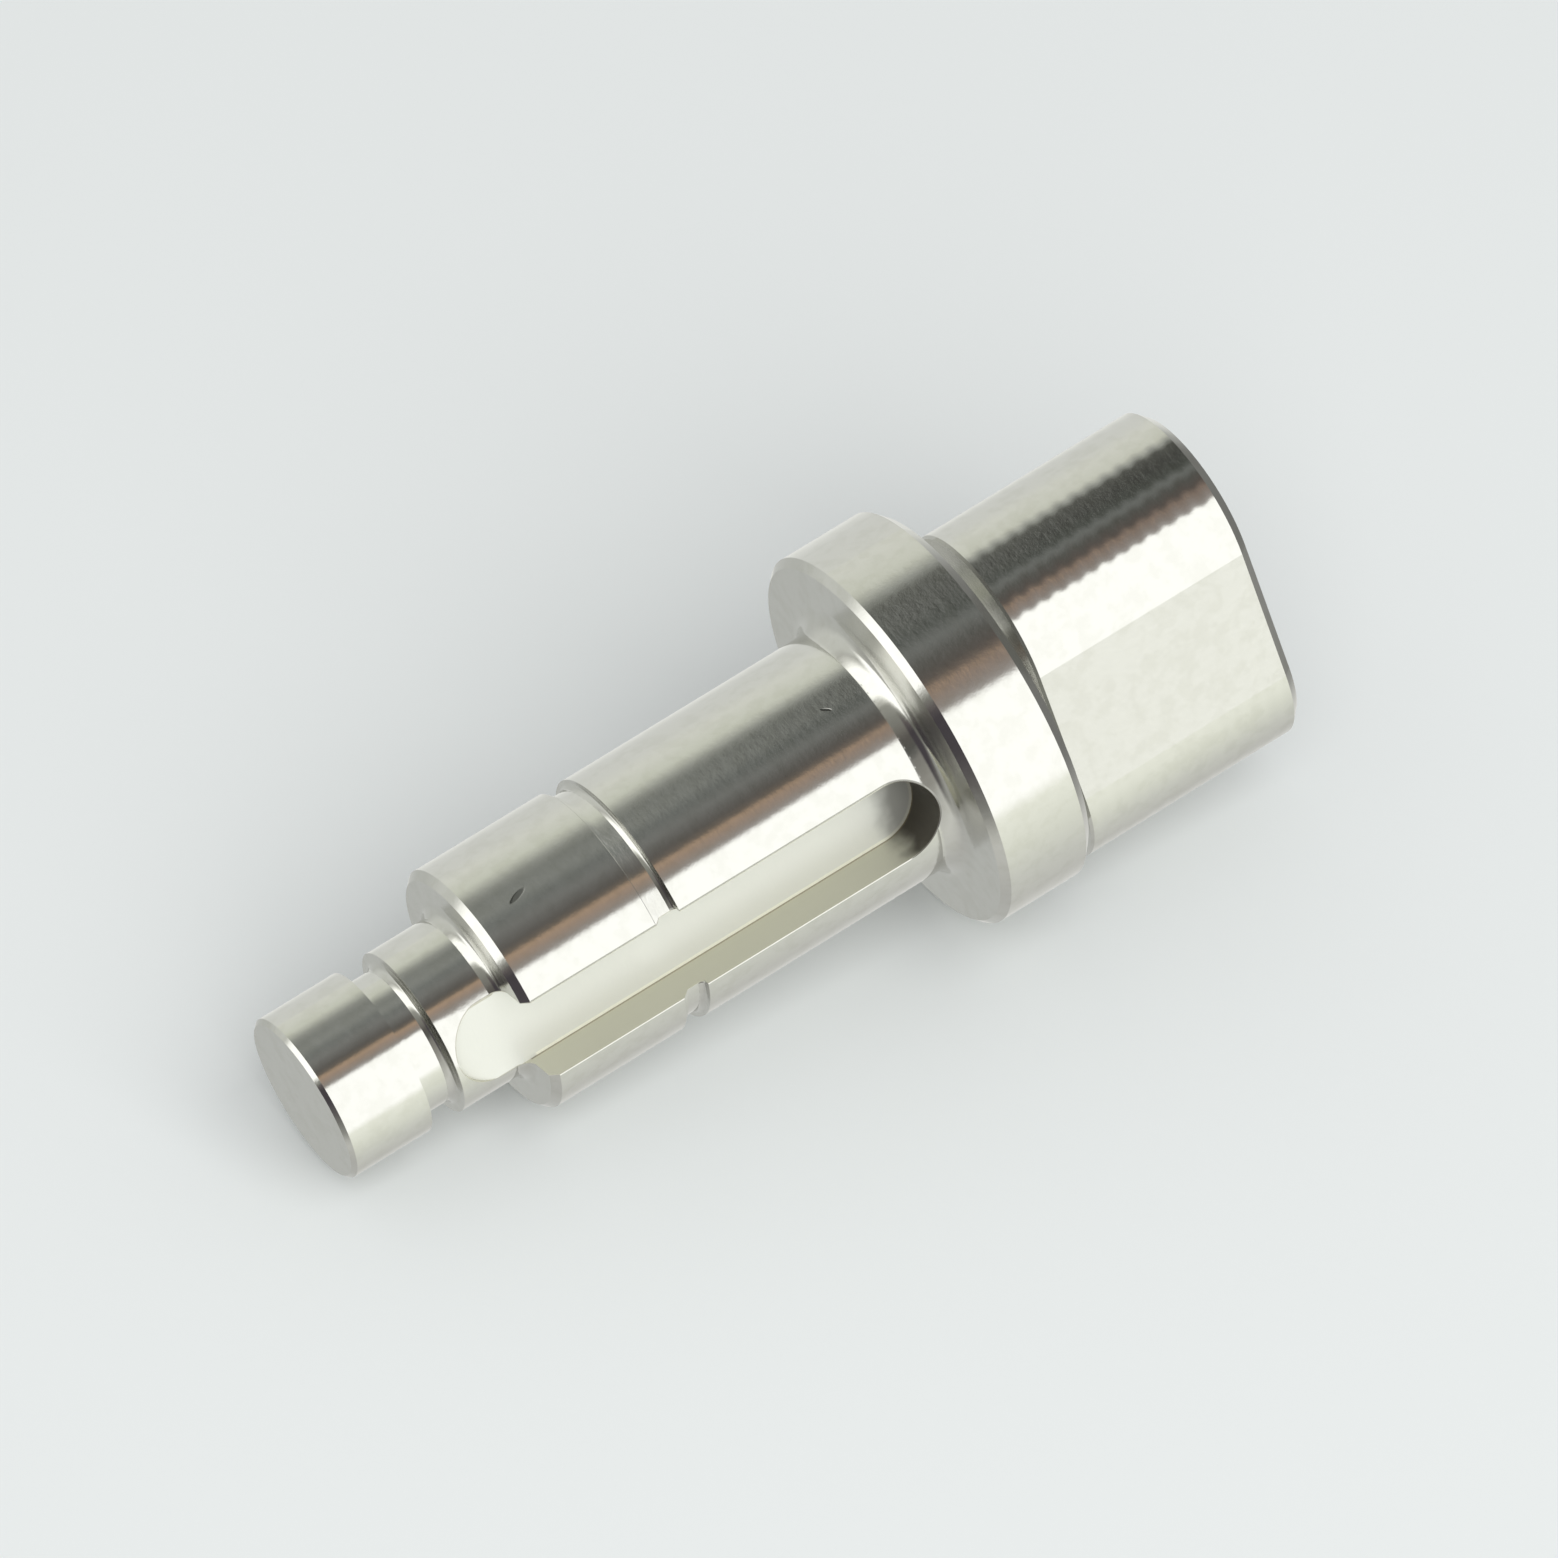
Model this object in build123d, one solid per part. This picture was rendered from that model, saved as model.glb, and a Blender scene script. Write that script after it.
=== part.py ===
from build123d import *

import os
from math import isclose

# Stepped shaft, turned and milled from one bar.
# The axis is Z. The head stands on Z = 0 and the pin is at the top. The keyway
# faces -Y, the head's two flats face -Y and +Y, and the head reaches past the
# axis towards -X. Everything is in millimetres.

# ---------------------------------------------------------------- lengths along the axis
HEAD_LENGTH = 11.4
NECK_WIDTH = 1.2
FLANGE_WIDTH = 4.8
JOURNAL_LENGTH = 21.5
PIN_LENGTH = 9.2

# ---------------------------------------------------------------- turned diameters
NECK_DIAMETER = 10.0
FLANGE_DIAMETER = 18.6
JOURNAL_DIAMETER = 12.0
PIN_DIAMETER = 8.0

# ---------------------------------------------------------------- head, milled on both sides
HEAD_THICKNESS = 10.2      # across the two flats
HEAD_WIDTH = 17.0          # over the two round ends, before the turned size limits one
HEAD_OFFSET = 1.2          # middle of the head from the shaft axis, towards -X

# ---------------------------------------------------------------- retaining ring groove in the pin
RING_GROOVE_SETBACK = 4.1  # from the tip of the pin
RING_GROOVE_WIDTH = 1.7
RING_GROOVE_DIAMETER = 6.6

# ---------------------------------------------------------------- relief groove in the journal
RELIEF_SETBACK = 6.9       # from the shoulder between the pin and the journal
RELIEF_WIDTH = 1.25
RELIEF_DEPTH = 0.4
RELIEF_RUN_IN = 0.4        # length of its sloping side, towards the pin

# ---------------------------------------------------------------- keyway, cut with an end mill
KEY_WIDTH = 4.0
KEY_DEPTH = 2.5            # from the top of the journal down to the flat floor
KEY_LENGTH = 24.0          # over both round ends
KEY_FLANGE_GAP = 0.7       # from its closed end to the flange

# ---------------------------------------------------------------- edges and corners
PIN_CHAMFER = 0.2
JOURNAL_CHAMFER = 0.35
FLANGE_FRONT_CHAMFER = 0.35
FLANGE_BACK_CHAMFER = 0.45
HEAD_CHAMFER = 0.45        # round the end face that the shaft stands on
HEAD_EDGE_BREAK = 0.12     # round the head's edge beside the neck
PIN_FILLET = 0.6           # at the foot of the pin
JOURNAL_FILLET = 1.0       # at the foot of the journal

# ---------------------------------------------------------------- heights of the steps
HEAD_TOP = HEAD_LENGTH
NECK_TOP = HEAD_TOP + NECK_WIDTH
FLANGE_TOP = NECK_TOP + FLANGE_WIDTH
JOURNAL_TOP = FLANGE_TOP + JOURNAL_LENGTH
PIN_TOP = JOURNAL_TOP + PIN_LENGTH
SAME_PLACE = 1e-4


def turned_step(diameter: float, bottom: float, top: float) -> Solid:
    """One plain cylinder of the shaft between two heights."""
    step = Cylinder(diameter / 2, top - bottom, align=(Align.CENTER, Align.CENTER, Align.MIN))
    return Pos(0, 0, bottom) * step


def rim(shaft: Part, diameter: float, height: float) -> ShapeList:
    """The round edge of one diameter at one height."""

    def is_rim(edge: Edge) -> bool:
        at_height = isclose(edge.arc_center.Z, height, abs_tol=SAME_PLACE)
        return at_height and isclose(edge.radius, diameter / 2, abs_tol=SAME_PLACE)

    return shaft.edges().filter_by(GeomType.CIRCLE).filter_by(is_rim)


def turned_blank() -> Part:
    """Neck, flange, journal and pin as they leave the lathe, before the grooves."""
    blank = Part() + [
        turned_step(NECK_DIAMETER, HEAD_TOP, NECK_TOP),
        turned_step(FLANGE_DIAMETER, NECK_TOP, FLANGE_TOP),
        turned_step(JOURNAL_DIAMETER, FLANGE_TOP, JOURNAL_TOP),
        turned_step(PIN_DIAMETER, JOURNAL_TOP, PIN_TOP),
    ]
    blank = fillet(rim(blank, JOURNAL_DIAMETER, FLANGE_TOP), JOURNAL_FILLET)
    blank = fillet(rim(blank, PIN_DIAMETER, JOURNAL_TOP), PIN_FILLET)
    blank = chamfer(rim(blank, FLANGE_DIAMETER, NECK_TOP), FLANGE_BACK_CHAMFER)
    blank = chamfer(rim(blank, FLANGE_DIAMETER, FLANGE_TOP), FLANGE_FRONT_CHAMFER)
    blank = chamfer(rim(blank, JOURNAL_DIAMETER, JOURNAL_TOP), JOURNAL_CHAMFER)
    return chamfer(rim(blank, PIN_DIAMETER, PIN_TOP), PIN_CHAMFER)


def groove_cutter(outer_radius: float, section: list[tuple[float, float]]) -> Part:
    """A ring to cut away: its floor follows the section's (radius, height) points."""
    bottom, top = section[0][1], section[-1][1]
    corners = [(outer_radius, bottom), *section, (outer_radius, top)]
    return revolve(Plane.XZ * make_face(Polyline(*corners, close=True)), Axis.Z)


def ring_groove() -> Part:
    """Square groove for the retaining ring."""
    floor = RING_GROOVE_DIAMETER / 2
    top = PIN_TOP - RING_GROOVE_SETBACK
    bottom = top - RING_GROOVE_WIDTH
    return groove_cutter(PIN_DIAMETER, [(floor, bottom), (floor, top)])


def relief_groove() -> Part:
    """Shallow groove with one square side and one sloping side."""
    surface = JOURNAL_DIAMETER / 2
    floor = surface - RELIEF_DEPTH
    top = JOURNAL_TOP - RELIEF_SETBACK
    bottom = top - RELIEF_WIDTH
    section = [(floor, bottom), (floor, top - RELIEF_RUN_IN), (surface, top)]
    return groove_cutter(JOURNAL_DIAMETER, section)


def keyway() -> Part:
    """Slot with round ends and a flat floor, which runs out over the pin."""
    floor = JOURNAL_DIAMETER / 2 - KEY_DEPTH
    middle = FLANGE_TOP + KEY_FLANGE_GAP + KEY_LENGTH / 2
    outline = Pos(0, middle) * SlotOverall(KEY_LENGTH, KEY_WIDTH, rotation=90)
    return extrude(Plane.XZ.offset(floor) * outline, JOURNAL_DIAMETER)


def head_block(outline: Sketch) -> Part:
    """One outline made as long as the head, with both of its edges broken."""
    block = extrude(outline, HEAD_LENGTH)
    block = chamfer(block.faces().sort_by(Axis.Z)[0].edges(), HEAD_CHAMFER)
    return chamfer(block.faces().sort_by(Axis.Z)[-1].edges(), HEAD_EDGE_BREAK)


def head() -> Part:
    """Flat-sided head with full-round ends, set off the axis and kept within the turned size."""
    milled = head_block(Pos(-HEAD_OFFSET, 0) * SlotOverall(HEAD_WIDTH, HEAD_THICKNESS))
    turned = head_block(Circle(FLANGE_DIAMETER / 2))
    return milled & turned


def stepped_shaft() -> Part:
    """The whole shaft: one solid."""
    return turned_blank() + head() - ring_groove() - relief_groove() - keyway()


shaft = stepped_shaft()
shaft.label = "stepped_shaft"
os.makedirs("parts", exist_ok=True)
export_step(shaft, "parts/stepped_shaft.step")
print(f"length {PIN_TOP:.2f} mm, volume {shaft.volume:.1f} mm3, solids {len(shaft.solids())}")
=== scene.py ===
"""Looks of a turned stepped shaft: its steel finishes, the pale table, the surround and the camera."""

import logging
import math
from dataclasses import dataclass, field

import bmesh
import bpy
from mathutils import Matrix, Vector


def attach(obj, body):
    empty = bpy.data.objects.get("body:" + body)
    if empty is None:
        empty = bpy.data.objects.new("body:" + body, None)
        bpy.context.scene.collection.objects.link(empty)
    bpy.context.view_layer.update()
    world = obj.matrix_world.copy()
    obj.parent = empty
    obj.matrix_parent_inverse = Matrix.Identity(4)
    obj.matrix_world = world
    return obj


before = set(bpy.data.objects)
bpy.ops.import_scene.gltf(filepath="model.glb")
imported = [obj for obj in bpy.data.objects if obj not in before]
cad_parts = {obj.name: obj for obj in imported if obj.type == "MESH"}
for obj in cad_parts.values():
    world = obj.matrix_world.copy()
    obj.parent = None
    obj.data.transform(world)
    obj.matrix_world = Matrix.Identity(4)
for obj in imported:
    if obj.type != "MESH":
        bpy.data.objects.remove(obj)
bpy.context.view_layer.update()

LOG = logging.getLogger("stepped_shaft")
MILLIMETRE = 0.001
SHAFT_NODE = "stepped_shaft"
SOFT_EDGE = 0.02 * MILLIMETRE
FACING_FLAT = (0.9985, 0.9998)
FACING_SQUARE = (0.80, 0.98)


class Signal:
    """A shader socket that holds one number, or a plain number, with Python's operators.

    Args:
        tree: The node tree that new Math nodes go into.
        value: A socket, or a number.
    """

    def __init__(self, tree: "Tree", value: "bpy.types.NodeSocket | float") -> None:
        """Keeps the tree and the value."""
        self.tree = tree
        self.value = value

    def math(self, operation: str, *others: "Signal | float") -> "Signal":
        """One Math node with this signal as its first value.

        Args:
            operation: Name of the Math node's operation.
            others: The node's other values.

        Returns:
            The node's result.
        """
        values = {0: self.value}
        for place, other in enumerate(others, start=1):
            values[place] = other.value if isinstance(other, Signal) else other
        made = self.tree.node("ShaderNodeMath", {"operation": operation}, values)
        return Signal(self.tree, made.outputs[0])

    def _swapped(self, operation: str, first: float) -> "Signal":
        """One Math node with a plain number as its first value and this signal as its second."""
        return Signal(self.tree, first).math(operation, self)

    def __add__(self, other: "Signal | float") -> "Signal":
        """Sum."""
        return self.math("ADD", other)

    def __radd__(self, other: float) -> "Signal":
        """Sum with a number on the left."""
        return self._swapped("ADD", other)

    def __sub__(self, other: "Signal | float") -> "Signal":
        """Difference."""
        return self.math("SUBTRACT", other)

    def __rsub__(self, other: float) -> "Signal":
        """Difference from a number on the left."""
        return self._swapped("SUBTRACT", other)

    def __mul__(self, other: "Signal | float") -> "Signal":
        """Product."""
        return self.math("MULTIPLY", other)

    def __rmul__(self, other: float) -> "Signal":
        """Product with a number on the left."""
        return self._swapped("MULTIPLY", other)

    def __truediv__(self, other: "Signal | float") -> "Signal":
        """Quotient."""
        return self.math("DIVIDE", other)

    def __neg__(self) -> "Signal":
        """The same signal with its sign changed."""
        return self.math("MULTIPLY", -1.0)

    def ramp(self, low: float, high: float) -> "Signal":
        """A smooth step from 0 at low to 1 at high; low may be the larger of the two.

        Args:
            low: Value at which the step starts.
            high: Value at which the step ends.

        Returns:
            The step.
        """
        kind = {"interpolation_type": "SMOOTHSTEP"}
        if low > high:
            return 1.0 - self.ramp(high, low)
        made = self.tree.node("ShaderNodeMapRange", kind, {0: self.value, 1: low, 2: high, 3: 0.0, 4: 1.0})
        return Signal(self.tree, made.outputs[0])

    def between(self, low: float, high: float, soft: float) -> "Signal":
        """1 from low to high, and 0 outside, with soft ends.

        Args:
            low: Lower end.
            high: Upper end.
            soft: Width of each soft end.

        Returns:
            The window.
        """
        return self.ramp(low - soft / 2, low + soft / 2) * self.ramp(high + soft / 2, high - soft / 2)


class Tree:
    """A shader node tree with short ways to add its nodes.

    Args:
        nodes: The tree that nodes go into.
    """

    def __init__(self, nodes: bpy.types.ShaderNodeTree) -> None:
        """Keeps the tree and empties it."""
        self.tree = nodes
        self.tree.nodes.clear()

    def node(self, kind: str, settings: dict | None = None, sockets: dict | None = None) -> bpy.types.Node:
        """Adds one node: its settings first, then the values or links of its sockets.

        Args:
            kind: The node's type name.
            settings: Attributes of the node; a ramp's stops go under "stops".
            sockets: Input name or number to a value, a socket or a Signal.

        Returns:
            The node.
        """
        made = self.tree.nodes.new(kind)
        for name, value in (settings or {}).items():
            if name == "stops":
                self._set_stops(made.color_ramp, value)
            else:
                setattr(made, name, value)
        for name, value in (sockets or {}).items():
            value = value.value if isinstance(value, Signal) else value
            if isinstance(value, bpy.types.NodeSocket):
                self.tree.links.new(value, made.inputs[name])
            else:
                made.inputs[name].default_value = value
        return made

    @staticmethod
    def _set_stops(ramp: bpy.types.ColorRamp, stops: list) -> None:
        """Gives a colour ramp its stops, each a place from 0 to 1 and a colour."""
        while len(ramp.elements) < len(stops):
            ramp.elements.new(1.0)
        for element, (place, colour) in zip(ramp.elements, stops):
            element.position = place
            element.color = (*colour, 1.0)

    def number(self, socket: bpy.types.NodeSocket) -> Signal:
        """Wraps a socket for use in an expression."""
        return Signal(self, socket)

    def parts(self, vector: bpy.types.NodeSocket) -> list[Signal]:
        """The X, Y and Z of a vector."""
        return [self.number(part) for part in self.node("ShaderNodeSeparateXYZ", {}, {0: vector}).outputs]

    def mix(self, factor: "Signal | float", first: object, second: object) -> bpy.types.NodeSocket:
        """Mixes two colours.

        Args:
            factor: 0 gives the first colour and 1 the second.
            first: A colour or a socket.
            second: A colour or a socket.

        Returns:
            The mixed colour.
        """
        made = self.node("ShaderNodeMix", {"data_type": "RGBA"}, {0: factor, 6: first, 7: second})
        return made.outputs[2]

    def vector(self, operation: str, *values: object) -> bpy.types.NodeSocket:
        """One Vector Math node.

        Args:
            operation: Name of the node's operation.
            values: The node's values, in order.

        Returns:
            The vector it gives.
        """
        made = self.node("ShaderNodeVectorMath", {"operation": operation}, dict(enumerate(values)))
        return made.outputs[0]

    def measure(self, operation: str, *values: object) -> Signal:
        """One Vector Math node that gives a number, such as a length or a dot product."""
        made = self.node("ShaderNodeVectorMath", {"operation": operation}, dict(enumerate(values)))
        return self.number(made.outputs[1])

    def scaled(self, vector: bpy.types.NodeSocket, factor: "Signal | float") -> bpy.types.NodeSocket:
        """A vector times a number."""
        made = self.node("ShaderNodeVectorMath", {"operation": "SCALE"}, {0: vector, "Scale": factor})
        return made.outputs[0]

    def noise(self, place: object, scale: float, detail: float = 2.0, rough: float = 0.5) -> Signal:
        """Noise from 0 to 1 at a place.

        Args:
            place: Vector socket that the noise is read at.
            scale: Lumps to each unit of the vector.
            detail: Octaves on top of the first.
            rough: Strength of each octave against the one before.

        Returns:
            The noise.
        """
        values = {"Vector": place, "Scale": scale, "Detail": detail, "Roughness": rough}
        return self.number(self.node("ShaderNodeTexNoise", {}, values).outputs[0])


def new_object(name: str, data: bpy.types.ID) -> bpy.types.Object:
    """Makes the object of a mesh, a lamp or a camera and links it to the scene.

    Args:
        name: Name of the object.
        data: What the object holds.

    Returns:
        The object.
    """
    made = bpy.data.objects.new(name, data)
    bpy.context.scene.collection.objects.link(made)
    return made


@dataclass(frozen=True)
class ShaftSizes:
    """Heights and sizes of the shaft's features, in metres, from the head's end face upwards."""

    head_top: float = 11.4 * MILLIMETRE
    journal_top: float = 38.9 * MILLIMETRE
    relief_bottom: float = 30.75 * MILLIMETRE
    relief_top: float = 32.0 * MILLIMETRE
    relief_floor: float = 5.6 * MILLIMETRE
    relief_corner: float = 0.28 * MILLIMETRE
    ring_groove_bottom: float = 42.3 * MILLIMETRE
    ring_groove_floor: float = 3.3 * MILLIMETRE
    ring_groove_corner: float = 0.40 * MILLIMETRE
    key_floor: float = 3.5 * MILLIMETRE
    key_half_width: float = 2.0 * MILLIMETRE
    key_bottom: float = 18.1 * MILLIMETRE
    key_top: float = 42.1 * MILLIMETRE


@dataclass(frozen=True)
class SteelFinish:
    """Colour and texture of the bright steel, with painted highlight and shade in the keyway and painted
    shade in the dents.

    Attributes:
        colour: Colour of the bare metal.
        key_floor_colour: Colour of the keyway's floor.
        key_foot_highlight_colour: Painted highlight: colour of the bright line on the floor, beside the wall.
        key_wall_colour: Colour of the keyway's wall.
        key_end_shade_colour: Painted shade: colour of the dark closed end of the keyway, by the flange.
        wall_foot_shade_colour: Painted shade: colour of the dark line at the foot of the keyway's wall.
        turned_roughness: Roughness of the turned steps and the head's sides.
        face_roughness: Roughness of the faces square to the axis.
        flat_roughness: Roughness of the head's flats.
        key_roughness: Roughness of the keyway.
        key_metal: How metallic the dull milled surface of the keyway looks.
        pass_width: Distance from one milling pass to the next, on the head.
        pass_tilt: How far each milling pass turns the surface, as a slope.
        rim_turn: How far the keyway's rounded rim turns the surface, as a slope.
        groove_taper: Slope of the relief groove's floor.
        stain_tint: Share of each colour that a stain leaves.
        stain_share: Strength of the stains.
        dent_shade_colour: Painted shade: colour at the bottom of a dent.
        dent_shade_share: Strength of that painted shade.
        dent_depth: Depth of a dent, in millimetres, as the next three heights are.
        line_height: Height of the turning lines.
        grain_height: Height of the grain all over.
        flat_grain_height: Height of the grain that the head's flats and the keyway have on top.
    """

    colour: tuple[float, float, float] = (0.66, 0.66, 0.63)
    key_floor_colour: tuple[float, float, float] = (0.785, 0.795, 0.73)
    key_foot_highlight_colour: tuple[float, float, float] = (1.0, 1.0, 0.86)
    key_wall_colour: tuple[float, float, float] = (0.60, 0.595, 0.49)
    key_end_shade_colour: tuple[float, float, float] = (0.035, 0.028, 0.02)
    wall_foot_shade_colour: tuple[float, float, float] = (0.20, 0.17, 0.11)
    turned_roughness: float = 0.09
    face_roughness: float = 0.24
    flat_roughness: float = 0.24
    key_roughness: float = 0.40
    key_metal: float = 0.36
    pass_width: float = 0.83 * MILLIMETRE
    pass_tilt: float = 0.010
    rim_turn: float = 0.9
    groove_taper: float = 0.025
    stain_tint: tuple[float, float, float] = (0.92, 0.92, 0.90)
    stain_share: float = 0.55
    dent_shade_colour: tuple[float, float, float] = (0.10, 0.10, 0.09)
    dent_shade_share: float = 0.6
    dent_depth: float = 0.004
    line_height: float = 0.0013
    grain_height: float = 0.0026
    flat_grain_height: float = 0.003


@dataclass(frozen=True)
class Nick:
    """A small dent in the steel, made by a bump, its bottom darkened with painted shade.

    Attributes:
        middle: Middle of the dent.
        along: Direction that it runs in.
        half_length: Half of its length.
        half_width: Half of its width.
    """

    middle: tuple[float, float, float]
    along: tuple[float, float, float]
    half_length: float
    half_width: float

    def mask(self, tree: Tree, place: object) -> Signal:
        """1 in the dent and 0 outside."""
        away = tree.vector("SUBTRACT", place, self.middle)
        run = tree.measure("DOT_PRODUCT", away, tuple(Vector(self.along).normalized()))
        total = tree.measure("LENGTH", away)
        aside = total * total - run * run
        reach = run * run * self.half_length ** -2 + aside * self.half_width ** -2
        return reach.ramp(1.3, 0.4)


NICKS = (
    Nick((5.27 * MILLIMETRE, -2.86 * MILLIMETRE, 36.45 * MILLIMETRE), (0.150, 0.307, -0.940),
         0.50 * MILLIMETRE, 0.14 * MILLIMETRE),
    Nick((5.22 * MILLIMETRE, -2.96 * MILLIMETRE, 20.3 * MILLIMETRE), (-0.280, -0.531, -0.800),
         0.25 * MILLIMETRE, 0.07 * MILLIMETRE),
)


@dataclass(frozen=True)
class KeywayMasks:
    """Where the keyway lies on the shaft.

    Attributes:
        inside: 1 on its walls and floor.
        wall: 1 on its walls.
        floor: 1 on its floor.
        foot: 1 on the thin line of its floor beside the wall, which gets a painted highlight.
        rim: 1 on the thin rim round its mouth, on the journal.
        inwards: Vector from the rim to the middle of the keyway, as long as its half width.
    """

    inside: Signal
    wall: Signal
    floor: Signal
    foot: Signal
    rim: Signal
    inwards: bpy.types.NodeSocket


@dataclass
class SteppedShaft:
    """The turned and milled shaft, dressed in bright steel."""

    sizes: ShaftSizes = field(default_factory=ShaftSizes)
    finish: SteelFinish = field(default_factory=SteelFinish)

    def dress(self) -> bpy.types.Material:
        """Gives the shaft's node its steel.

        Returns:
            The steel.
        """
        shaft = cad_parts[SHAFT_NODE]
        steel = self._steel()
        for slot in shaft.material_slots:
            slot.material = steel
        LOG.info("%s: dressed in bright steel", shaft.name)
        return steel

    def _steel(self) -> bpy.types.Material:
        """One steel whose finish follows how each stretch of the shaft was cut.

        Returns:
            The material.
        """
        material = bpy.data.materials.new("bright_steel")
        material.use_nodes = True
        tree = Tree(material.node_tree)
        place = tree.node("ShaderNodeTexCoord").outputs["Object"]
        normal = tree.node("ShaderNodeNewGeometry").outputs["Normal"]
        z = tree.parts(place)[2]
        facing_y, facing_z = (part.math("ABSOLUTE") for part in tree.parts(normal)[1:])
        head_edge = self.sizes.head_top
        on_head = z.ramp(head_edge + SOFT_EDGE, head_edge - SOFT_EDGE)
        flat = facing_y.ramp(*FACING_FLAT)
        face = facing_z.ramp(*FACING_SQUARE)
        key = self._keyway(tree, place, flat)
        first, *others = (nick.mask(tree, place) for nick in NICKS)
        dents = sum(others, start=first)
        head_flat = on_head * flat
        shader = tree.node("ShaderNodeBsdfPrincipled", {}, {
            "Base Color": self._colour(tree, place, key, dents),
            "Metallic": 1.0 - key.inside * (1.0 - self.finish.key_metal),
            "Roughness": self._roughness(tree, place, head_flat, face, key.inside),
            "Normal": self._relief(tree, place, self._shaped(tree, place, normal, key),
                                   on_head * (1.0 - flat), head_flat, key.inside, face, dents),
        })
        tree.node("ShaderNodeOutputMaterial", {}, {0: shader.outputs[0]})
        return material

    def _keyway(self, tree: Tree, place: object, flat: Signal) -> KeywayMasks:
        """Finds the keyway's parts and its rim.

        Args:
            tree: The material's tree.
            place: Object coordinates.
            flat: 1 on the faces square to Y.

        Returns:
            The masks.
        """
        sizes = self.sizes
        x, y, z = tree.parts(place)
        half_straight = (sizes.key_top - sizes.key_bottom) / 2 - sizes.key_half_width
        along = z - (sizes.key_top + sizes.key_bottom) / 2
        past = along - along.math("MINIMUM", half_straight).math("MAXIMUM", -half_straight)
        reach = (x * x + past * past).math("SQRT")
        edge, soft = sizes.key_half_width, SOFT_EDGE
        deep = (-y).ramp(sizes.key_floor - 3 * soft, sizes.key_floor - 2 * soft)
        on_journal = z.ramp(sizes.journal_top - 0.3 * MILLIMETRE, sizes.journal_top - 0.4 * MILLIMETRE)
        inside = reach.ramp(edge + 2 * soft, edge + soft) * deep
        rim = reach.ramp(edge + 6 * soft, edge + 3 * soft) * reach.ramp(edge + soft, edge + 2 * soft)
        # The thin line of the floor beside the wall, for the painted highlight.
        foot = reach.ramp(edge - 9 * soft, edge - 5 * soft) * inside * flat * on_journal
        inwards = tree.node("ShaderNodeCombineXYZ", {}, {0: -x, 1: 0.0, 2: -past}).outputs[0]
        wall, floor = inside * (1.0 - flat), inside * flat
        return KeywayMasks(inside, wall, floor, foot, rim * deep * on_journal, inwards)

    def _shaped(self, tree: Tree, place: object, normal: object, key: KeywayMasks) -> bpy.types.NodeSocket:
        """The solid's normal, rounded at the keyway's rim and levelled on the relief groove's floor."""
        sizes = self.sizes
        z = tree.parts(place)[2]
        turn = key.rim * (self.finish.rim_turn / sizes.key_half_width)
        rounded = tree.vector("ADD", normal, tree.scaled(key.inwards, turn))
        outwards = tree.vector("NORMALIZE", tree.vector("MULTIPLY", place, (1.0, 1.0, 0.0)))
        level = tree.vector("ADD", outwards, (0.0, 0.0, self.finish.groove_taper))
        floor = z.between(sizes.relief_bottom + sizes.relief_corner, sizes.relief_top - SOFT_EDGE,
                          SOFT_EDGE) * (1.0 - key.inside)
        return tree.vector("NORMALIZE", tree.mix(floor, rounded, level))

    def _roughness(self, tree: Tree, place: object, head_flat: Signal, face: Signal,
                   key: Signal) -> Signal:
        """Roughness of each stretch, a little uneven."""
        finish = self.finish
        base = finish.turned_roughness
        rough = base + head_flat * (finish.flat_roughness - base) + face * (finish.face_roughness - base)
        rough = rough * (1.0 - key) + key * finish.key_roughness
        return rough + (tree.noise(place, 1.6 / MILLIMETRE) - 0.5) * 0.04

    def _colour(self, tree: Tree, place: object, key: KeywayMasks, dents: Signal) -> bpy.types.NodeSocket:
        """Steel colour, with faint stains and the keyway's own tones, plus a painted highlight and painted
        shade in the keyway and painted shade in the dents.
        """
        finish, sizes = self.finish, self.sizes
        _, y, z = tree.parts(place)
        steel = (*finish.colour, 1.0)
        stained = tuple(part * tint for part, tint in zip(finish.colour, finish.stain_tint)) + (1.0,)
        patches = tree.noise(place, 1.3 / MILLIMETRE, 3.0).ramp(0.42, 0.66)
        colour = tree.mix(patches * finish.stain_share, steel, stained)
        colour = tree.mix(key.floor, colour, (*finish.key_floor_colour, 1.0))
        # Painted highlight: a bright line on the keyway's floor beside the wall.
        colour = tree.mix(key.foot, colour, (*finish.key_foot_highlight_colour, 1.0))
        colour = tree.mix(key.wall, colour, (*finish.key_wall_colour, 1.0))
        # Painted shade: the keyway's closed end by the flange is darkened, with a cloudy border.
        cloud = (tree.noise(place, 0.9 / MILLIMETRE, 2.0) - 0.5) * (1.2 * MILLIMETRE)
        end = (z + cloud).ramp(sizes.key_bottom + 2.4 * MILLIMETRE, sizes.key_bottom + 1.0 * MILLIMETRE)
        colour = tree.mix(end * (key.wall * 0.95 + key.floor * 0.6), colour, (*finish.key_end_shade_colour, 1.0))
        # Painted shade: a dark line on the keyway's wall, at its foot.
        on_journal = z.ramp(sizes.journal_top, sizes.journal_top - 0.1 * MILLIMETRE)
        line = (-y - sizes.key_floor).ramp(0.13 * MILLIMETRE, 0.05 * MILLIMETRE) * key.wall * on_journal
        colour = tree.mix(line * 0.75, colour, (*finish.wall_foot_shade_colour, 1.0))
        # Painted shade: the dents are darkened.
        return tree.mix(dents * finish.dent_shade_share, colour, (*finish.dent_shade_colour, 1.0))

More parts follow.
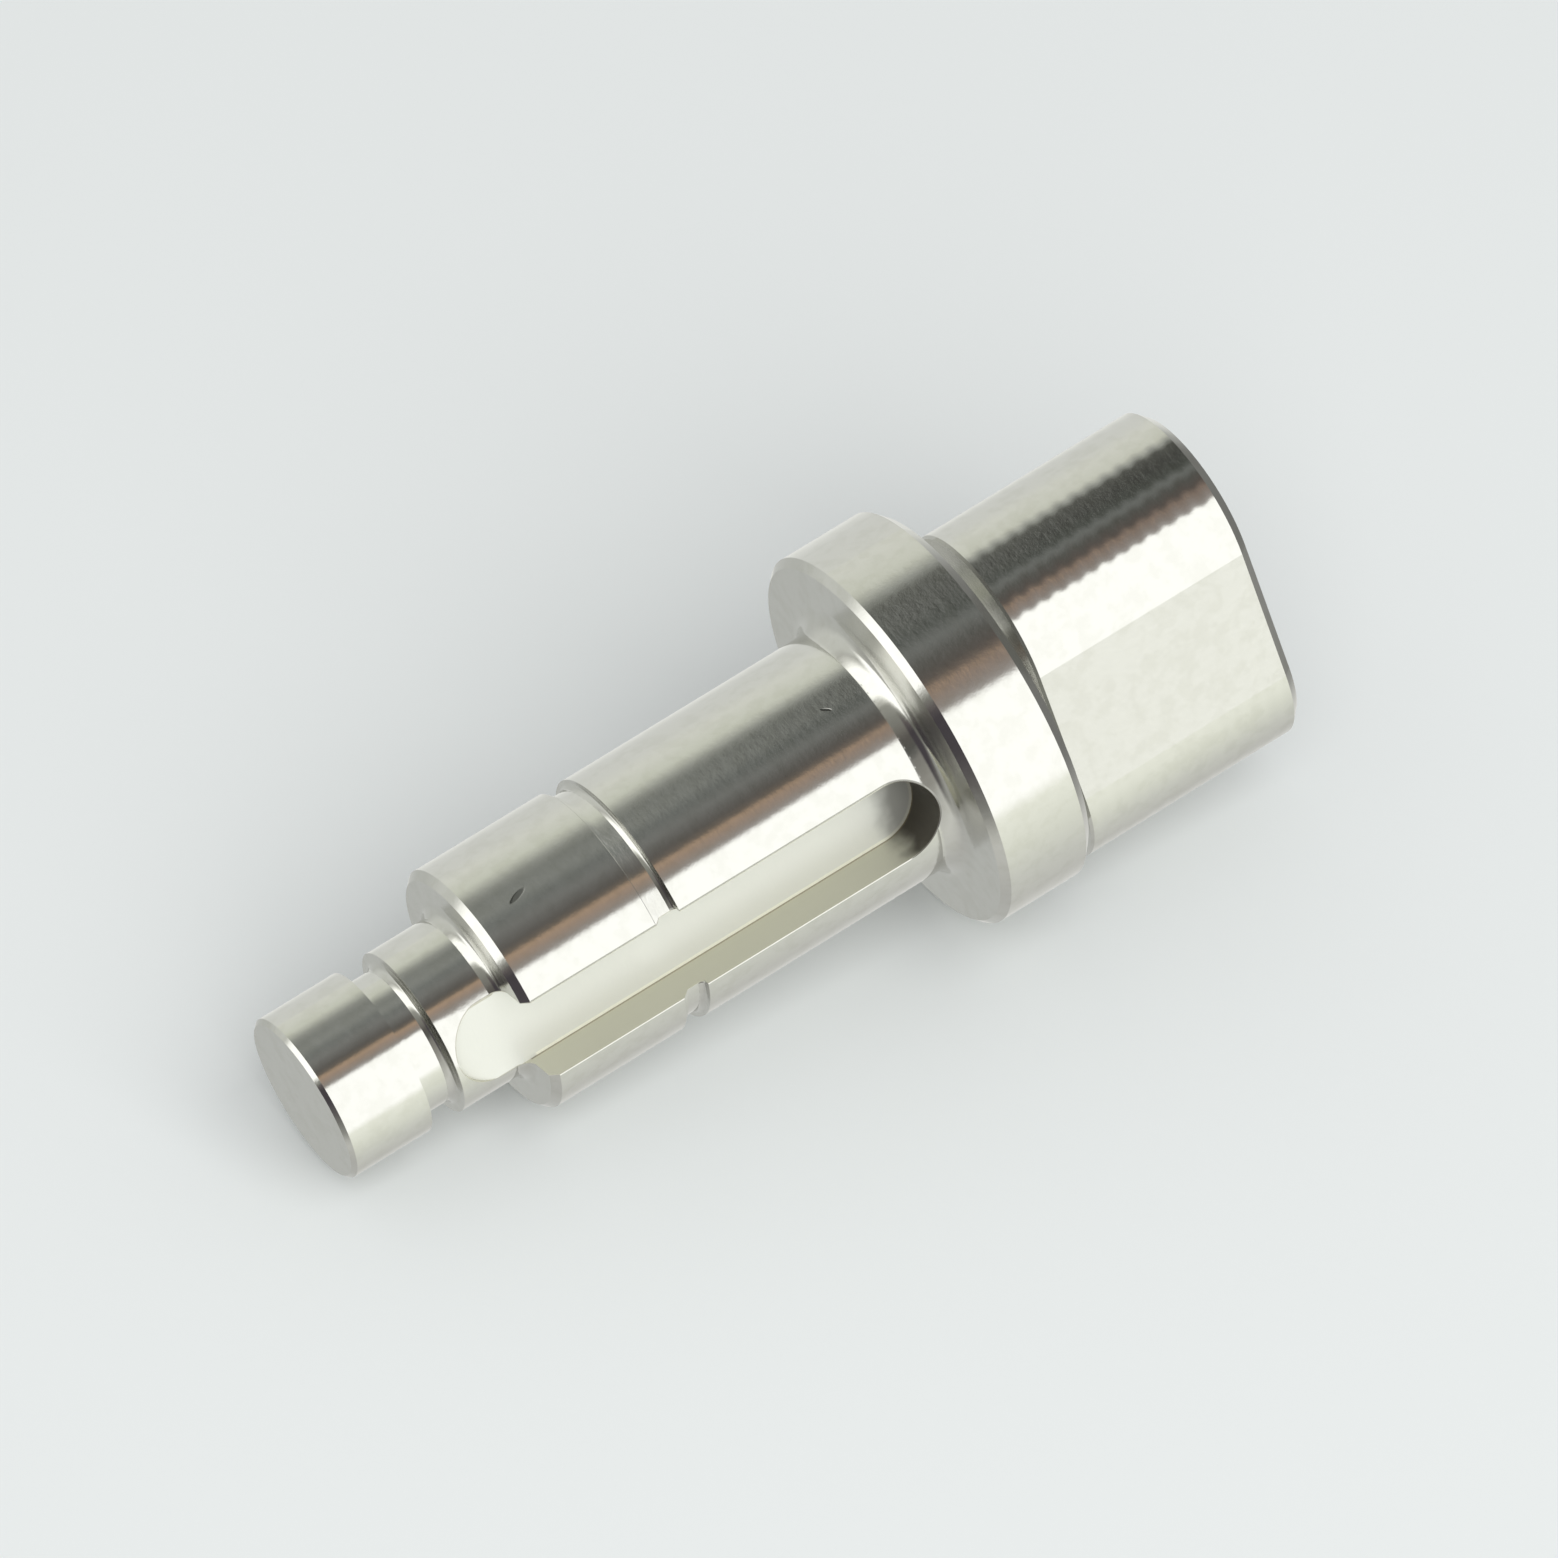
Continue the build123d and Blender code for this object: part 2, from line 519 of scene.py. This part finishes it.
    def _relief(self, tree: Tree, place: object, normal: object, round_head: Signal, head_flat: Signal,
                key: Signal, face: Signal, dents: Signal) -> bpy.types.NodeSocket:
        """Turning lines, milling passes, dents and the fine grain of the flats, as a normal.

        Args:
            tree: The material's tree.
            place: Object coordinates.
            normal: The shaped normal.
            round_head: 1 on the rounded ends of the head.
            head_flat: 1 on the head's flats.
            key: 1 in the keyway.
            face: 1 on the faces square to the axis.
            dents: 1 in the dents.

        Returns:
            The normal.
        """
        finish = self.finish
        z = tree.parts(place)[2]
        passes = (z * (2 * math.pi / finish.pass_width)).math("SINE")
        uneven = tree.noise(place, 0.9 / MILLIMETRE, 2.0) - 0.5
        sway = (passes + uneven * 2.4) * finish.pass_tilt * round_head
        around = tree.vector("CROSS_PRODUCT", (0.0, 0.0, 1.0), normal)
        turned = tree.vector("NORMALIZE", tree.vector("ADD", normal, tree.scaled(around, sway)))
        along = tree.vector("MULTIPLY", place, (0.05, 0.05, 1.0))
        lines = tree.noise(along, 2.0 / MILLIMETRE, 4.0, 0.65) * (1.0 - face)
        grain = tree.noise(place, 2.6 / MILLIMETRE, 3.0, 0.6)
        rough_grain = (head_flat + key).math("MINIMUM", 1.0) * finish.flat_grain_height
        fine = lines * finish.line_height + grain * (finish.grain_height + rough_grain)
        height = fine - dents * finish.dent_depth
        bump = tree.node("ShaderNodeBump", {}, {
            "Height": height, "Strength": 1.0, "Distance": MILLIMETRE, "Normal": turned,
        })
        return bump.outputs[0]


@dataclass(frozen=True)
class GrooveCorner:
    """The rounded corner at the foot of a groove's wall, on the side towards the flange.

    Attributes:
        name: Name of the piece.
        floor: Radius of the groove's floor.
        foot: Height of the wall's foot along the shaft.
        corner: Radius of the rounding.
        gap: Half of the width that the keyway cuts out of the groove, or 0.
        sunk: How far the hidden sides lie inside the steel.
        steps: Steps of the spin about the shaft axis.
    """

    name: str
    floor: float
    foot: float
    corner: float
    gap: float = 0.0
    sunk: float = 0.02 * MILLIMETRE
    steps: int = 160

    def build(self, steel: bpy.types.Material) -> bpy.types.Object:
        """Makes the corner as a ring, open where the keyway crosses it.

        Args:
            steel: The shaft's material.

        Returns:
            The ring's object.
        """
        ring = bmesh.new()
        half_gap = math.asin(self.gap / self.floor)
        self._section(ring)
        bmesh.ops.rotate(ring, verts=ring.verts, matrix=Matrix.Rotation(half_gap - math.pi / 2, 3, "Z"))
        bmesh.ops.spin(ring, geom=ring.verts[:] + ring.edges[:], axis=(0.0, 0.0, 1.0), steps=self.steps,
                       angle=2 * (math.pi - half_gap), use_merge=self.gap == 0.0)
        if self.gap:
            bmesh.ops.holes_fill(ring, edges=ring.edges[:])
        bmesh.ops.recalc_face_normals(ring, faces=ring.faces)
        for face in ring.faces:
            face.smooth = True
        for edge in ring.edges:
            edge.smooth = edge.calc_face_angle(0.0) < math.radians(40.0)
        mesh = bpy.data.meshes.new(self.name)
        ring.to_mesh(mesh)
        ring.free()
        mesh.materials.append(steel)
        piece = new_object(self.name, mesh)
        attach(piece, "root")
        LOG.info("%s: %.2f mm rounding", self.name, self.corner / MILLIMETRE)
        return piece

    def _section(self, ring: bmesh.types.BMesh) -> None:
        """Draws the corner's section: a quarter round, closed behind by two straight sides."""
        top = ring.verts.new((self.floor, 0.0, self.foot + self.corner))
        middle = (self.floor + self.corner, 0.0, self.foot + self.corner)
        last = bmesh.ops.spin(ring, geom=[top], cent=middle, axis=(0.0, -1.0, 0.0), angle=math.pi / 2,
                              steps=8)["geom_last"][0]
        behind = ring.verts.new((self.floor - self.sunk, 0.0, self.foot - self.sunk))
        ring.edges.new((top, behind))
        ring.edges.new((behind, last))


@dataclass(frozen=True)
class Table:
    """The pale table that the shaft lies on, on its flange and the front rim of its journal.

    Attributes:
        colour: Colour of the table.
        up: Direction away from the table, in the shaft's own frame.
        touch: Distance of the shaft axis from the table, at the flange's front rim.
        touch_height: Height of that rim along the shaft.
        half_size: Half of the table's side.
    """

    colour: tuple[float, float, float] = (0.80, 0.83, 0.825)
    up: tuple[float, float, float] = (0.930, -0.335, -0.152)
    touch: float = 9.3 * MILLIMETRE
    touch_height: float = 17.05 * MILLIMETRE
    half_size: float = 1.2

    def build(self) -> bpy.types.Object:
        """Makes the table's top, hidden from reflections.

        Returns:
            The table's object.
        """
        up = Vector(self.up).normalized()
        across = Vector((up.x, up.y, 0.0)).normalized()
        corner = Vector((0.0, 0.0, self.touch_height)) - across * self.touch
        turn = up.to_track_quat("Z", "Y").to_matrix().to_4x4()
        sheet = bmesh.new()
        bmesh.ops.create_grid(sheet, x_segments=1, y_segments=1, size=self.half_size)
        bmesh.ops.transform(sheet, matrix=Matrix.Translation(corner) @ turn, verts=sheet.verts)
        mesh = bpy.data.meshes.new("table")
        sheet.to_mesh(mesh)
        sheet.free()
        table = new_object("table", mesh)
        table.visible_glossy = False
        mesh.materials.append(self._paint())
        LOG.info("table: %.1f m square", 2 * self.half_size)
        return table

    def _paint(self) -> bpy.types.Material:
        """Pale matte paint on the upper side; the table can't be seen from below."""
        material = bpy.data.materials.new("pale_table")
        material.use_nodes = True
        tree = Tree(material.node_tree)
        matte = tree.node("ShaderNodeBsdfDiffuse", {}, {"Color": (*self.colour, 1.0)})
        clear = tree.node("ShaderNodeBsdfTransparent")
        below = tree.node("ShaderNodeNewGeometry").outputs["Backfacing"]
        both = tree.node("ShaderNodeMixShader", {}, {0: below, 1: matte.outputs[0], 2: clear.outputs[0]})
        tree.node("ShaderNodeOutputMaterial", {}, {0: both.outputs[0]})
        return material


@dataclass(frozen=True)
class Ring:
    """One level ring of the surround, as its colours at angles round the shaft axis.

    Attributes:
        bands: Angle in degrees from -Y towards -X, and the colour there, from -180 to 180.
    """

    bands: tuple[tuple[float, tuple[float, float, float]], ...]

    def build(self, tree: Tree, turn: Signal) -> bpy.types.NodeSocket:
        """Makes the ring's ramp of colours.

        Args:
            tree: The world's tree.
            turn: Angle round the axis, from 0 at -180 degrees to 1 at 180.

        Returns:
            The colour seen at that angle.
        """
        stops = [(angle / 360.0 + 0.5, colour) for angle, colour in self.bands]
        return tree.node("ShaderNodeValToRGB", {"stops": stops}, {0: turn}).outputs[0]


LOW_FAR_SIDE = (
    (-180.0, (0.81, 0.82, 0.79)),
    (-155.0, (0.85, 0.86, 0.82)),
    (-140.0, (0.90, 0.91, 0.84)),
)

LOW_KEY_SIDE = (
    (-33.5, (0.46, 0.43, 0.41)),
    (-30.5, (1.55, 1.55, 1.52)),
    (30.0, (1.55, 1.55, 1.52)),
    (38.0, (1.19, 1.21, 1.10)),
    (60.0, (1.00, 1.02, 0.92)),
    (85.0, (0.80, 0.81, 0.76)),
    (110.0, (0.67, 0.67, 0.64)),
    (135.0, (0.73, 0.73, 0.70)),
    (160.0, (0.87, 0.88, 0.84)),
    (180.0, (0.81, 0.82, 0.79)),
)

PIN_RING = Ring(LOW_FAR_SIDE + (
    (-122.0, (0.80, 0.82, 0.72)),
    (-108.0, (0.36, 0.37, 0.34)),
    (-100.0, (0.28, 0.29, 0.27)),
    (-88.0, (0.31, 0.32, 0.30)),
    (-78.0, (0.22, 0.23, 0.22)),
    (-68.0, (0.24, 0.24, 0.23)),
    (-55.0, (0.15, 0.14, 0.13)),
    (-50.0, (0.20, 0.17, 0.14)),
    (-47.0, (0.56, 0.40, 0.28)),
    (-42.0, (0.46, 0.35, 0.28)),
    (-36.0, (0.38, 0.34, 0.31)),
) + LOW_KEY_SIDE)

HEAD_RING = Ring(LOW_FAR_SIDE + (
    (-118.0, (0.84, 0.85, 0.76)),
    (-110.0, (0.42, 0.43, 0.40)),
    (-104.0, (0.10, 0.10, 0.09)),
    (-90.0, (0.06, 0.06, 0.055)),
    (-78.0, (0.075, 0.08, 0.07)),
    (-70.0, (0.20, 0.21, 0.20)),
    (-62.0, (0.11, 0.11, 0.10)),
    (-53.0, (0.13, 0.11, 0.10)),
    (-47.0, (0.27, 0.21, 0.18)),
    (-38.0, (0.34, 0.30, 0.28)),
) + LOW_KEY_SIDE)

HIGH_RING = Ring((
    (-180.0, (0.61, 0.62, 0.59)),
    (-160.0, (0.77, 0.78, 0.74)),
    (-134.0, (0.74, 0.75, 0.70)),
    (-124.0, (0.62, 0.62, 0.58)),
    (-116.0, (0.90, 0.90, 0.84)),
    (-106.0, (1.65, 1.65, 1.58)),
    (-74.0, (1.65, 1.65, 1.58)),
    (-67.0, (0.75, 0.75, 0.69)),
    (-62.0, (0.42, 0.42, 0.38)),
    (-50.0, (0.31, 0.31, 0.28)),
    (-38.0, (0.24, 0.23, 0.21)),
    (-30.0, (0.14, 0.13, 0.12)),
    (-18.0, (0.13, 0.13, 0.12)),
    (-10.0, (0.28, 0.27, 0.25)),
    (8.0, (0.37, 0.36, 0.33)),
    (22.0, (0.46, 0.45, 0.42)),
    (32.0, (0.60, 0.60, 0.56)),
    (64.0, (0.79, 0.79, 0.75)),
    (85.0, (0.70, 0.70, 0.67)),
    (105.0, (0.59, 0.59, 0.57)),
    (145.0, (0.60, 0.61, 0.59)),
    (180.0, (0.61, 0.62, 0.59)),
))

TOP_RING = Ring((
    (-180.0, (0.45, 0.45, 0.42)),
    (-150.0, (0.60, 0.60, 0.56)),
    (-142.0, (1.65, 1.65, 1.60)),
    (-72.0, (1.65, 1.65, 1.60)),
    (-64.0, (0.60, 0.60, 0.56)),
    (-56.0, (0.30, 0.30, 0.27)),
    (-45.0, (0.16, 0.14, 0.14)),
    (-30.0, (0.08, 0.07, 0.08)),
    (15.0, (0.09, 0.08, 0.09)),
    (40.0, (0.16, 0.15, 0.15)),
    (60.0, (0.32, 0.32, 0.30)),
    (90.0, (0.48, 0.48, 0.45)),
    (120.0, (0.34, 0.34, 0.32)),
    (145.0, (0.25, 0.25, 0.23)),
    (180.0, (0.45, 0.45, 0.42)),
))


@dataclass(frozen=True)
class Surround:
    """What the steel reflects all round the shaft, and the plain light on everything else.

    Attributes:
        backdrop: Colour behind the table.
        level: Level of the plain light on everything but the steel.
        overhead: Grey straight above the pin.
        underneath: Grey straight below the head.
        head_to_pin: Rise, in degrees, over which the head's ring gives way to the pin's.
        pin_to_high: Rise over which the pin's ring gives way to the high ring.
        high_to_top: Rise over which the high ring gives way to the top ring.
        top_to_overhead: Rise over which the top ring gives way to the grey above.
        to_underneath: Rise over which the rings give way to the grey below.
    """

    backdrop: tuple[float, float, float] = (0.80, 0.83, 0.825)
    level: float = 0.56
    overhead: tuple[float, float, float] = (0.20, 0.20, 0.18)
    underneath: tuple[float, float, float] = (0.24, 0.24, 0.23)
    head_to_pin: tuple[float, float] = (-17.3, -14.5)
    pin_to_high: tuple[float, float] = (-12.4, -5.0)
    high_to_top: tuple[float, float] = (42.0, 56.0)
    top_to_overhead: tuple[float, float] = (76.0, 88.0)
    to_underneath: tuple[float, float] = (-30.0, -60.0)

    def build(self) -> bpy.types.World:
        """Makes the world.

        Returns:
            The world.
        """
        world = bpy.data.worlds.new("studio")
        world.use_nodes = True
        bpy.context.scene.world = world
        tree = Tree(world.node_tree)
        rays = tree.node("ShaderNodeLightPath").outputs
        plain = (self.level, self.level, self.level, 1.0)
        lit = tree.mix(tree.number(rays["Is Glossy Ray"]), plain, self._reflected(tree))
        shown = tree.mix(tree.number(rays["Is Camera Ray"]), lit, (*self.backdrop, 1.0))
        light = tree.node("ShaderNodeBackground", {}, {0: shown, 1: 1.0})
        tree.node("ShaderNodeOutputWorld", {}, {0: light.outputs[0]})
        LOG.info("surround: four rings of light")
        return world

    def _reflected(self, tree: Tree) -> bpy.types.NodeSocket:
        """The rings, one above the other, between the dark underneath and the grey overhead."""
        seen = tree.node("ShaderNodeTexCoord").outputs["Generated"]
        x, y, z = tree.parts(seen)
        turn = (-x).math("ARCTAN2", -y) / (2 * math.pi) + 0.5
        rise = z.math("ARCSINE") * (180.0 / math.pi)
        head, pin, high, top = (ring.build(tree, turn) for ring in (HEAD_RING, PIN_RING, HIGH_RING, TOP_RING))
        level = tree.mix(rise.ramp(*self.head_to_pin), head, pin)
        level = tree.mix(rise.ramp(*self.pin_to_high), level, high)
        level = tree.mix(rise.ramp(*self.high_to_top), level, top)
        level = tree.mix(rise.ramp(*self.top_to_overhead), level, (*self.overhead, 1.0))
        return tree.mix(rise.ramp(*self.to_underneath), level, (*self.underneath, 1.0))


@dataclass(frozen=True)
class SoftLamp:
    """The large soft lamp on the keyway's side of the shaft, which gives the table its soft shadow.

    Attributes:
        towards: Direction from the shaft to the lamp, in the shaft's own frame.
        distance: From the shaft to the lamp, in metres.
        side: Side of the square lamp, in metres.
        power: Power, in watts.
    """

    towards: tuple[float, float, float] = (0.322, -0.691, 0.035)
    distance: float = 0.8
    side: float = 0.9
    power: float = 5.7

    def build(self) -> bpy.types.Object:
        """Makes the lamp.

        Returns:
            The lamp's object.
        """
        data = bpy.data.lights.new("soft_lamp", "AREA")
        data.shape, data.size, data.energy = "SQUARE", self.side, self.power
        lamp = new_object("soft_lamp", data)
        towards = Vector(self.towards).normalized()
        turn = towards.to_track_quat("Z", "Y").to_matrix().to_4x4()
        middle = Vector((0.0, 0.0, 24.0 * MILLIMETRE))
        lamp.matrix_world = Matrix.Translation(middle + towards * self.distance) @ turn
        lamp.visible_glossy = False
        LOG.info("soft lamp: %.2f m across", self.side)
        return lamp


@dataclass(frozen=True)
class StudioCamera:
    """The camera, placed round the standing shaft and rolled so that the shaft lies across the view.

    Attributes:
        azimuth: Angle round the shaft from -Y towards +X, in degrees.
        elevation: Angle above the level of the shaft's middle, in degrees.
        roll: Turn of the camera about its own line of sight, in degrees.
        distance: From the aim to the camera, in metres.
        aim: Point that the camera looks at.
        lens: Focal length, in millimetres.
    """

    azimuth: float = 34.5
    elevation: float = 15.21
    roll: float = -121.43
    distance: float = 0.61271
    aim: tuple[float, float, float] = (0.00092, 0.00063, 0.02228)
    lens: float = 322.7

    def build(self) -> bpy.types.Object:
        """Makes the camera and gives it to the scene.

        Returns:
            The camera's object.
        """
        across, above = math.radians(self.azimuth), math.radians(self.elevation)
        back = Vector((math.sin(across) * math.cos(above), -math.cos(across) * math.cos(above),
                       math.sin(above)))
        turn = (-back).to_track_quat("-Z", "Y").to_matrix().to_4x4()
        roll = Matrix.Rotation(math.radians(self.roll), 4, "Z")
        data = bpy.data.cameras.new("camera")
        data.lens = self.lens
        data.clip_start, data.clip_end = 0.01, 10.0
        camera = new_object("camera", data)
        camera.matrix_world = Matrix.Translation(Vector(self.aim) + back * self.distance) @ turn @ roll
        bpy.context.scene.camera = camera
        LOG.info("camera: %.0f mm lens, %.2f m away", self.lens, self.distance)
        return camera


def main() -> None:
    """Builds the scene: the shaft's finish, the table, the surround and the camera."""
    logging.basicConfig(level=logging.INFO, format="%(message)s")
    shaft = SteppedShaft()
    steel = shaft.dress()
    sizes = shaft.sizes
    GrooveCorner("relief_groove_corner", sizes.relief_floor, sizes.relief_bottom, sizes.relief_corner,
                 sizes.key_half_width).build(steel)
    GrooveCorner("ring_groove_corner", sizes.ring_groove_floor, sizes.ring_groove_bottom,
                 sizes.ring_groove_corner).build(steel)
    Table().build()
    Surround().build()
    SoftLamp().build()
    StudioCamera().build()
    bpy.context.scene.view_settings.view_transform = "Standard"


if __name__ == "__main__":
    main()
